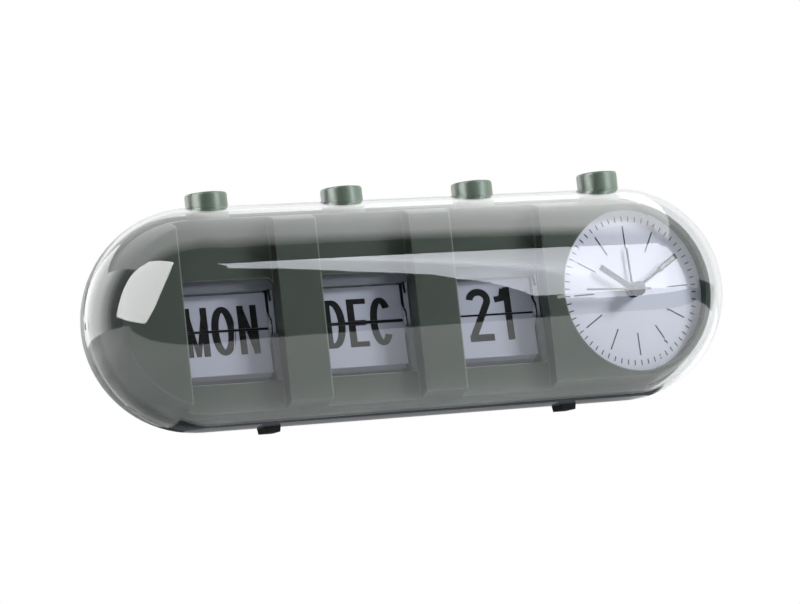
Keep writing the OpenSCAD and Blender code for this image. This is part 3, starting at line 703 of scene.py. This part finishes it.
def marks_tree():
    """A ring of equal marks: count of them on a radius, each so long and wide, pointing outwards."""
    tree = bpy.data.node_groups.new("ring_of_marks", "GeometryNodeTree")
    for name, kind, default in (
        ("Geometry", "NodeSocketGeometry", None),
        ("Count", "NodeSocketInt", 60),
        ("Radius", "NodeSocketFloat", 30 * MM),
        ("Length", "NodeSocketFloat", 2 * MM),
        ("Width", "NodeSocketFloat", 0.3 * MM),
        ("Thickness", "NodeSocketFloat", 0.04 * MM),
        ("Ink", "NodeSocketMaterial", None),
    ):
        socket = tree.interface.new_socket(name, in_out="INPUT", socket_type=kind)
        if default is not None:
            socket.default_value = default
    tree.interface.new_socket("Geometry", in_out="OUTPUT", socket_type="NodeSocketGeometry")
    given = add(tree, "NodeGroupInput").outputs
    ring = add(tree, "GeometryNodeMeshCircle", links={"Vertices": given["Count"], "Radius": given["Radius"]})
    sides = {0: given["Length"], 1: given["Width"], 2: given["Thickness"]}
    size = add(tree, "ShaderNodeCombineXYZ", links=sides)
    mark = add(tree, "GeometryNodeMeshCube", links={"Size": size.outputs[0]})
    index = add(tree, "GeometryNodeInputIndex")
    share = add(tree, "ShaderNodeMath", links={0: index.outputs[0], 1: given["Count"]}, operation="DIVIDE")
    turn = add(tree, "ShaderNodeMath", {1: 2 * math.pi}, {0: share.outputs[0]}, operation="MULTIPLY")
    around = add(tree, "ShaderNodeCombineXYZ", links={2: turn.outputs[0]})
    marks = add(
        tree, "GeometryNodeInstanceOnPoints",
        links={"Points": ring.outputs[0], "Instance": mark.outputs[0], "Rotation": around.outputs[0]},
    )
    real = add(tree, "GeometryNodeRealizeInstances", links={0: marks.outputs[0]})
    inked = add(
        tree, "GeometryNodeSetMaterial", links={"Geometry": real.outputs[0], "Material": given["Ink"]}
    )
    add(tree, "NodeGroupOutput", links={0: inked.outputs[0]})
    return tree


def ring_of_marks(name, tree, values, place):
    """Runs the tree once and keeps the result as a plain mesh, set in place."""
    holder = bpy.data.objects.new(name + "_holder", bpy.data.meshes.new(name + "_holder"))
    bpy.context.scene.collection.objects.link(holder)
    modifier = holder.modifiers.new("marks", "NODES")
    modifier.node_group = tree
    for item in tree.interface.items_tree:
        if item.in_out == "INPUT" and item.name in values:
            modifier[item.identifier] = values[item.name]
    bpy.context.view_layer.update()
    evaluated = holder.evaluated_get(bpy.context.evaluated_depsgraph_get())
    mesh = bpy.data.meshes.new_from_object(evaluated)
    bpy.data.objects.remove(holder)
    mesh.transform(place)
    mesh.name = name
    return mesh


def on_dial(depth, turn):
    """A plane over the dial at a depth in mm, turned about the dial's middle."""
    return facing_front(DIAL + Vector((0, depth, 0)) * MM) @ Matrix.Rotation(-turn, 4, "Z")


class CLOCK_OT_dial(bpy.types.Operator):
    """Prints the dial and finishes the hands"""

    bl_idname = "clock.dial"
    bl_label = "Dial and hands"

    def execute(self, context):
        look = context.scene.clock_look.dial
        ink = printing_ink(context.scene.clock_look.cards.ink_colour)
        dress(white_plastic("white_dial", look.face, 0.5), "dial_plate")
        dress(painted_brass(), "alarm_hand", "hour_hand", "minute_hand", "second_hand")
        tree = marks_tree()
        rings = (
            ("minute_marks", look.minute_marks, MINUTE_MARKS, look.mark_width),
            ("hour_marks", look.hour_marks, HOUR_MARKS, look.mark_width * HOUR_MARK_SHARE),
        )
        for name, count, (radius, length), width in rings:
            values = {
                "Count": count, "Radius": radius * MM, "Length": length * MM, "Width": width,
                "Thickness": MARK_T * MM, "Ink": ink,
            }
            mesh = ring_of_marks(name, tree, values, on_dial(DIAL_FACE_Y, look.turn))
            piece(name, mesh, ink, "root")
        pale = white_plastic("pale_insert", linear("#a09e9b"), 0.5)
        strip = (rectangle(*HAND_STRIP), on_dial(HAND_FACE_Y, math.radians(HAND_TURN)), HAND_STRIP_T)
        slab_piece("minute_hand_insert", [strip], pale, "minutes")
        return {"FINISHED"}


class CLOCK_OT_works(bpy.types.Operator):
    """Finishes the movement, the knobs, the battery and the fasteners inside"""

    bl_idname = "clock.works"
    bl_label = "Works"

    def execute(self, context):
        dress(dark_plastic(), "alarm_switch", "time_knob", "alarm_knob")
        dress(
            white_plastic("white_case", linear("#dcdcdf"), 0.4),
            "movement_front", "movement_back", "minute_wheel", "hour_wheel", "alarm_wheel",
        )
        dress(
            metal("stamped_brass", "#c8a75e", 0.28, 0.25),
            "second_wheel", "third_wheel", "centre_wheel", "fifth_wheel", "minute_pinion", "buzzer",
        )
        dress(
            metal("zinc_plate", "#c0c2c5", 0.3, 0.3),
            "case_screws", "frame_screws", "movement_screws", "stator", "battery_contact", "rotor",
        )
        dress(wound_copper(), "coil")
        dress(solder_mask(), "circuit_board")
        dress(satin_abs("battery_sleeve", linear("#6f7478"), 0.3, 0.2), "battery")
        return {"FINISHED"}


def bare_material(name):
    """A material with no nodes yet."""
    material = bpy.data.materials.new(name)
    material.use_nodes = True
    material.node_tree.nodes.clear()
    return material, material.node_tree


def larger(tree, first, second):
    """The larger of two values."""
    return add(tree, "ShaderNodeMath", links={0: first, 1: second}, operation="MAXIMUM").outputs[0]


def studio_world(scene, surround):
    """White where it is looked at or mirrored, and a weak even light on everything else."""
    world = bpy.data.worlds.new("studio")
    scene.world = world
    world.use_nodes = True
    tree = world.node_tree
    tree.nodes.clear()
    ray = add(tree, "ShaderNodeLightPath").outputs
    seen = larger(tree, ray["Is Camera Ray"], ray["Is Glossy Ray"])
    shown = larger(tree, seen, ray["Is Transmission Ray"])
    even = add(tree, "ShaderNodeBackground", {"Color": linear("#f6f7fb"), "Strength": surround})
    white = add(tree, "ShaderNodeBackground", {"Color": (1, 1, 1, 1), "Strength": 1.0})
    both = add(tree, "ShaderNodeMixShader", links={0: shown, 1: even.outputs[0], 2: white.outputs[0]})
    add(tree, "ShaderNodeOutputWorld", links={"Surface": both.outputs[0]})


def paper_floor(scene):
    """Pale paper that keeps the clock's shadow. It is seen from above only, because the
    photographed view looks up at the clock."""
    mesh = bpy.data.meshes.new("floor")
    far = 1500 * MM
    mesh.from_pydata([(-far, -far, 0), (far, -far, 0), (far, far, 0), (-far, far, 0)], [], [(0, 1, 2, 3)])
    floor = bpy.data.objects.new("floor", mesh)
    scene.collection.objects.link(floor)
    material, tree = bare_material("pale_paper")
    ray = add(tree, "ShaderNodeLightPath").outputs
    side = add(tree, "ShaderNodeNewGeometry")
    paper = add(tree, "ShaderNodeBsdfDiffuse", {"Color": linear("#f4f4f4")})
    lift = add(tree, "ShaderNodeEmission", {"Color": (1, 1, 1, 1), "Strength": 0.3})
    lit = add(tree, "ShaderNodeAddShader", links={0: paper.outputs[0], 1: lift.outputs[0]})
    seen = larger(tree, ray["Is Camera Ray"], ray["Is Glossy Ray"])
    shown = add(tree, "ShaderNodeMixShader", links={0: seen, 1: paper.outputs[0], 2: lit.outputs[0]})
    clear = add(tree, "ShaderNodeBsdfTransparent")
    faces = {0: side.outputs["Backfacing"], 1: shown.outputs[0], 2: clear.outputs[0]}
    one_sided = add(tree, "ShaderNodeMixShader", links=faces)
    add(tree, "ShaderNodeOutputMaterial", links={"Surface": one_sided.outputs[0]})
    mesh.materials.append(material)


def add_lamps(scene, look):
    """A broad lamp above and a key lamp at the right. They only light, and are never mirrored."""
    for name, at, size, power in (
        ("lamp_above", (100, 250, 1300), 1200, look.lamp),
        ("lamp_right", (1100, -730, 725), 400, look.key),
    ):
        light = bpy.data.lights.new(name, "AREA")
        light.energy = power
        light.size = size * MM
        lamp = bpy.data.objects.new(name, light)
        scene.collection.objects.link(lamp)
        lamp.location = Vector(at) * MM
        lamp.rotation_euler = (Vector(at) * MM - AXIS).to_track_quat("Z", "Y").to_euler()
        lamp.visible_glossy = False
        lamp.visible_transmission = False


# Cards that are weaker than this count as dark
BRIGHT = 0.1
# The room that the polished cover mirrors: its walls are this far from the clock, its roof this
# high, and the cards on its floor just above it. Corners are in mm, and their edges were found by
# following the photographed view's rays off the cover.
WALL = 2600
GROUND = 3
FLOOR_EDGE = (
    (-WALL, 0), (-420, -35), (-217, -56), (-139, -71), (-100, -80), (-40, -87), (24, -92), (103, -100),
    (WALL, -112), (WALL, -WALL), (-WALL, -WALL),
)
SHADE = ((-104, -3), (104, -4), (104, 75), (-104, 75))
SHADE_LIGHT = 0.09
POST_PLANE = 300
POST = ((-94, 64), (22, 52), (22, 3), (-88, 3))
LEFT_WALL_END = 1150
# The roof lamp's rows from front to back, each with its share of the strength: its front edge is
# soft, dark up to the first row and at its full strength by the second
ROOF_X = (-WALL, -1900, -130, 970, 1070, 1250, 1475, 1700, WALL)
ROOF_EDGE = (-450, -530, -860, -850, -850, -900, -1120, -1430, -2000)
ROOF_FULL = (100, 20, -300, -220, -300, -420, -640, -900, -1500)
ROOF_BACK = (1500, 3000)
ROOF_ROWS = (0, 1, 0.75, 0.35)
ROOF_LAMP = 5.0
ROOF_STOPS = ((-WALL, 2.4), (950, 2.4), (1060, 2.85), (1270, 3.3), (1450, 4.5), (1800, 5.0), (WALL, 5.0))
# The pale wall behind, to the left, brightens towards the back
BACK_LAMP = 4.4
BACK_Y = (LEFT_WALL_END, 1400, 1600, 1850, 2100, 2500, 12000)
BACK_ROWS = (0, 0.33, 0.42, 0.6, 0.85, 1, 0.85)
BACK_TOP = 9000
PALE_FLOOR = 1.5
PALE_FLOOR_X = (-160, -230, -WALL)
PALE_FLOOR_Y = (20, 3000)
PALE_FLOOR_ROWS = (0.6, 1, 1)
# The right soft lamp stands on the plane y = -1000, and its light goes on along the floor. Its
# levels are those at the strength RIGHT_LAMP.
RIGHT_PLANE = -1000
RIGHT_EDGE = (
    (262, 1208), (544, 1250), (640, 1249), (765, 1215), (846, 1180), (895, 1145), (1101, 1022), (1178, 785),
    (1256, 548), (1317, 298), (1419, 58), (1440, 3), (522, 3), (510, 151), (502, 312), (493, 413), (496, 521),
    (473, 720), (466, 918), (443, 1067),
)
RIGHT_LAMP = 12.0
RIGHT_STOPS = (
    (250, 8.7), (520, 8.7), (565, 9.2), (590, 13.2), (660, 10.4), (800, 8.6), (1200, 6.2), (1500, 6.0),
)
RIGHT_FOOT_SHARE = 0.5
RIGHT_FOOT = (
    (548, -1000), (302, -537), (212, -362), (203, -303), (181, -267), (196, -269), (212, -271), (249, -316),
    (682, -474), (1500, -1000),
)
LEFT_PLANE = -900
LEFT_EDGE = (
    (-107, 1178), (-387, 1413), (-917, 1840), (-813, 1140), (-665, 589), (-520, 258), (-372, 55), (-300, 5),
    (-61, 68), (178, 151), (149, 304), (114, 517), (81, 771),
)


def card_mesh(name, corners, rows):
    """One face round all the corners, or a grid of faces over rows of corners, each row with its
    share of the card's strength."""
    mesh = bpy.data.meshes.new(name)
    points = [Vector(corner) * MM for corner in corners]
    if not rows:
        mesh.from_pydata(points, [], [list(range(len(points)))])
        return mesh
    across = len(points) // len(rows)
    faces = []
    for row in range(len(rows) - 1):
        for i in range(row * across, (row + 1) * across - 1):
            faces.append((i, i + 1, i + across + 1, i + across))
    mesh.from_pydata(points, [], faces)
    fade = mesh.attributes.new("fade", "FLOAT", "POINT")
    fade.data.foreach_set("value", [share for share in rows for _ in range(across)])
    return mesh


def strength_along(tree, strength, stops):
    """A strength that changes along x, at stops of (x in mm, strength)."""
    first, last = stops[0][0], stops[-1][0]
    place = add(tree, "ShaderNodeTexCoord")
    parts = add(tree, "ShaderNodeSeparateXYZ", links={0: place.outputs["Object"]})
    span = {1: first * MM, 2: last * MM, 3: 0.0, 4: 1.0}
    along = add(tree, "ShaderNodeMapRange", span, {0: parts.outputs[0]})
    curve = add(tree, "ShaderNodeFloatCurve", links={1: along.outputs[0]})
    line = curve.mapping.curves[0]
    line.points[0].location = (0, stops[0][1] / strength)
    line.points[-1].location = (1, stops[-1][1] / strength)
    for x, level in stops[1:-1]:
        line.points.new((x - first) / (last - first), level / strength)
    for point in line.points:
        point.handle_type = "VECTOR"
    curve.mapping.update()
    return add(tree, "ShaderNodeMath", {1: strength}, {0: curve.outputs[0]}, operation="MULTIPLY").outputs[0]


def mirror_card(name, corners, colour, strength, stops=None, rows=None):
    """A card that shows in the cover's reflections only: a soft lamp's face, or a dark screen."""
    mesh = card_mesh(name, corners, rows)
    card = bpy.data.objects.new(name, mesh)
    bpy.context.scene.collection.objects.link(card)
    material, tree = bare_material(name)
    material.cycles.emission_sampling = "NONE"
    light = add(tree, "ShaderNodeEmission", {"Color": linear(colour), "Strength": strength})
    power = strength_along(tree, strength, stops) if stops else None
    if rows:
        share = add(tree, "ShaderNodeAttribute", attribute_name="fade").outputs["Fac"]
        factors = {0: share, 1: power} if power else {0: share}
        power = add(tree, "ShaderNodeMath", {1: strength}, factors, operation="MULTIPLY").outputs[0]
    if power:
        tree.links.new(power, light.inputs["Strength"])
    add(tree, "ShaderNodeOutputMaterial", links={"Surface": light.outputs[0]})
    mesh.materials.append(material)
    card.visible_camera = False
    card.visible_diffuse = False
    card.visible_shadow = False
    # The dark cards also keep the housing from mirroring the white surroundings
    card.visible_transmission = strength < BRIGHT


def on_plane(axis, at, points):
    """Corners on the plane where one axis has a fixed value."""
    return [point[:axis] + (at,) + point[axis:] for point in points]


def mirrored_room(look):
    """Dark screens in front of the clock, and soft lamps among them."""
    wall = ((-WALL, GROUND), (WALL, GROUND), (WALL, WALL), (-WALL, WALL))
    left = ((-WALL, GROUND), (-WALL, WALL), (LEFT_WALL_END, WALL), (LEFT_WALL_END, GROUND))
    depths = (ROOF_EDGE, ROOF_FULL, *([y] * len(ROOF_X) for y in ROOF_BACK))
    roof = [on_plane(2, WALL, zip(ROOF_X, depth)) for depth in depths]
    back = [(-WALL, y, z) for y in BACK_Y for z in (GROUND, BACK_TOP)]
    # Where both lie on the floor, a lamp's card is a millimetre over the screen
    over = GROUND + 1
    pale_floor = [(x, y, over) for x in PALE_FLOOR_X for y in PALE_FLOOR_Y]
    share = look.right_lamp / RIGHT_LAMP
    right_stops = [(x, level * share) for x, level in RIGHT_STOPS]
    foot_lamp = look.right_lamp * RIGHT_FOOT_SHARE
    plain, pale, cool = "#ffffff", "#fbfbfb", "#f4f7ff"
    mirror_card("dark_floor_screen", on_plane(2, GROUND, FLOOR_EDGE), plain, look.screen)
    mirror_card("dark_front_screen", on_plane(1, -WALL, wall), plain, look.screen)
    front_corners = [(WALL, -WALL, WALL), (-WALL, -WALL, WALL)]
    mirror_card("dark_roof_screen", front_corners + roof[0], plain, look.screen)
    mirror_card("soft_lamp_roof", sum(roof, []), pale, ROOF_LAMP, ROOF_STOPS, ROOF_ROWS)
    mirror_card("dark_left_screen", on_plane(0, -WALL, left), plain, look.screen)
    mirror_card("soft_lamp_back_left", back, pale, BACK_LAMP, rows=BACK_ROWS)
    mirror_card("pale_floor_left", pale_floor, pale, PALE_FLOOR, rows=PALE_FLOOR_ROWS)
    mirror_card("shade_under_clock", on_plane(2, GROUND, SHADE), "#dfe6f2", SHADE_LIGHT)
    mirror_card("dark_post_right", on_plane(0, POST_PLANE, POST), plain, look.screen)
    mirror_card("soft_lamp_right", on_plane(1, RIGHT_PLANE, RIGHT_EDGE), cool, look.right_lamp, right_stops)
    mirror_card("soft_lamp_right_foot", on_plane(2, over, RIGHT_FOOT), cool, foot_lamp)
    mirror_card("soft_lamp_left", on_plane(0, LEFT_PLANE, LEFT_EDGE), plain, look.left_lamp)


# The photographed view, fitted to the outline: turned to the left, from below and rolled. It is
# this far back from the target, and slid to the right and up until the picture's middle fits.
VIEW_ANGLES = (-24.65, -5.97, -6.13)
VIEW_DISTANCE = 1225.0
VIEW_TARGET = (0, 10, 44.7)
VIEW_SLIDE = (-2.95, 2.51)
SENSOR_W = 36
FOCAL_PX = 3142.9
PICTURE_W_PX = 800


def photographed_view(scene):
    """The camera, with its lens and its place."""
    turn, tilt, roll = (math.radians(angle) for angle in VIEW_ANGLES)
    back = Vector((math.sin(turn) * math.cos(tilt), -math.cos(turn) * math.cos(tilt), math.sin(tilt)))
    right = Vector((math.cos(turn), math.sin(turn), 0))
    up = back.cross(right)
    right, up = right * math.cos(roll) + up * math.sin(roll), up * math.cos(roll) - right * math.sin(roll)
    lens = bpy.data.cameras.new("camera")
    lens.sensor_width = SENSOR_W
    lens.lens = FOCAL_PX / PICTURE_W_PX * SENSOR_W
    lens.clip_end = 20
    camera = bpy.data.objects.new("camera", lens)
    scene.collection.objects.link(camera)
    at = Vector(VIEW_TARGET) + back * VIEW_DISTANCE + right * VIEW_SLIDE[0] + up * VIEW_SLIDE[1]
    camera.matrix_world = plane(right, up, back, at * MM)
    scene.camera = camera


class CLOCK_OT_stage(bpy.types.Operator):
    """Sets the floor, the lamps, what the cover mirrors and the camera"""

    bl_idname = "clock.stage"
    bl_label = "Stage"

    def execute(self, context):
        look = context.scene.clock_look.stage
        scene = context.scene
        scene.view_settings.view_transform = "Standard"
        studio_world(scene, look.surround)
        paper_floor(scene)
        add_lamps(scene, look)
        mirrored_room(look)
        photographed_view(scene)
        return {"FINISHED"}


STEPS = (CLOCK_OT_body, CLOCK_OT_buttons, CLOCK_OT_cards, CLOCK_OT_dial, CLOCK_OT_works, CLOCK_OT_stage)
LOOKS = (BodyLook, CardLook, DialLook, StageLook, ClockLook)


class CLOCK_PT_panel(bpy.types.Panel):
    """Lists the steps that dress the clock, with their sizes and colours"""

    bl_label = "Desk Clock"
    bl_space_type = "VIEW_3D"
    bl_region_type = "UI"
    bl_category = "Desk Clock"

    def draw(self, context):
        for step in STEPS:
            self.layout.operator(step.bl_idname)
        look = context.scene.clock_look
        for group in (look.body, look.cards, look.dial, look.stage):
            box = self.layout.box()
            for name in group.__annotations__:
                box.prop(group, name)


def register():
    for kind in LOOKS + STEPS + (CLOCK_PT_panel,):
        bpy.utils.register_class(kind)
    bpy.types.Scene.clock_look = PointerProperty(type=ClockLook)


def unregister():
    del bpy.types.Scene.clock_look
    for kind in reversed(LOOKS + STEPS + (CLOCK_PT_panel,)):
        bpy.utils.unregister_class(kind)


def main():
    register()
    for step in ("body", "buttons", "cards", "dial", "works", "stage"):
        getattr(bpy.ops.clock, step)()


if __name__ == "__main__":
    main()
